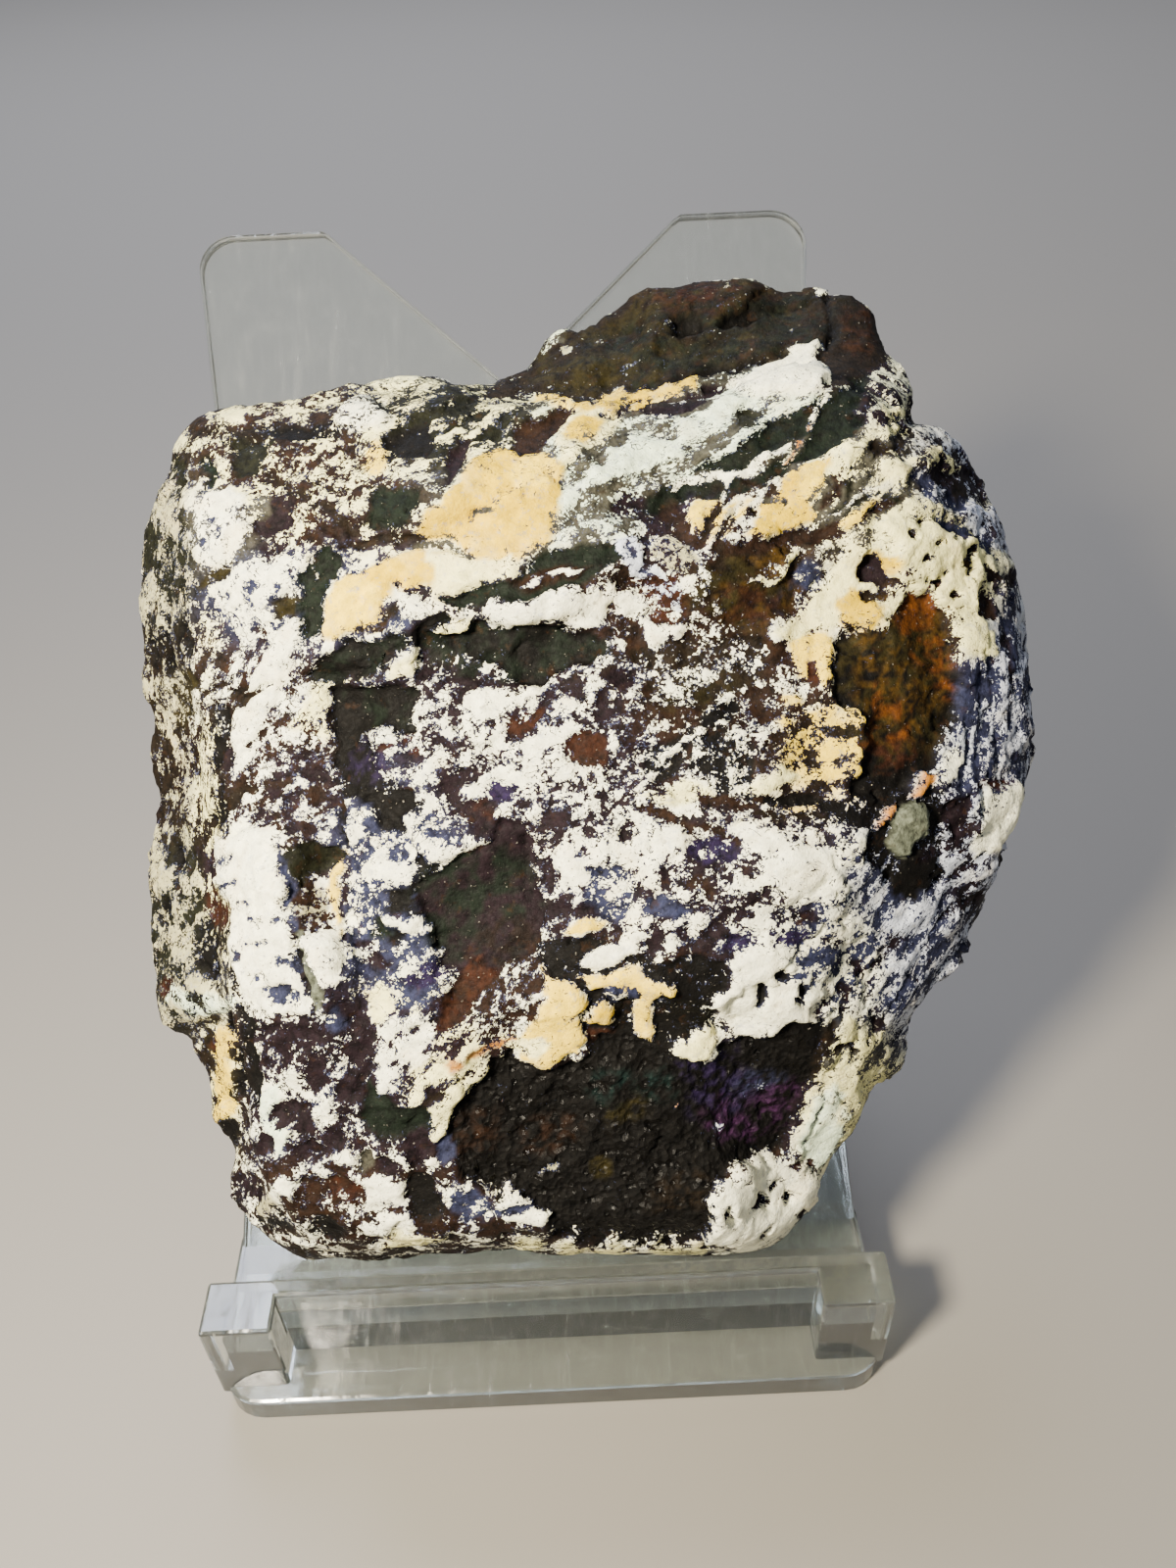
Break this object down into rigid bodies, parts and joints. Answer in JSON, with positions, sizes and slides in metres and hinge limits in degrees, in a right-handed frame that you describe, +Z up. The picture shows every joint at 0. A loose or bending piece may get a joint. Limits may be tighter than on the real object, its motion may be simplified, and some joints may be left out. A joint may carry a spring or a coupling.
{
  "type": "mineral specimen on display easel",
  "caption": "Broken block of dark rock with a white crandallite crust, leaning on a clear reclined easel with a notched back plate, ledge and strut.",
  "frame": {"origin": "on the base plate's flat underside, midway between its side edges and 35.2 mm behind the end blocks' front faces", "axes": "+Z up, -Y the side the specimen faces, +X to the right of someone looking at the specimen"},
  "size_m": [0.0826, 0.0797, 0.0872],
  "materials": {
    "specimen": "rough, with a chalky crust",
    "easel": "clear polished plastic, lightly scuffed"
  },
  "bodies": {
    "root": {"crandallite_specimen": "specimen", "display_easel": "easel"}
  },
  "joints": []
}
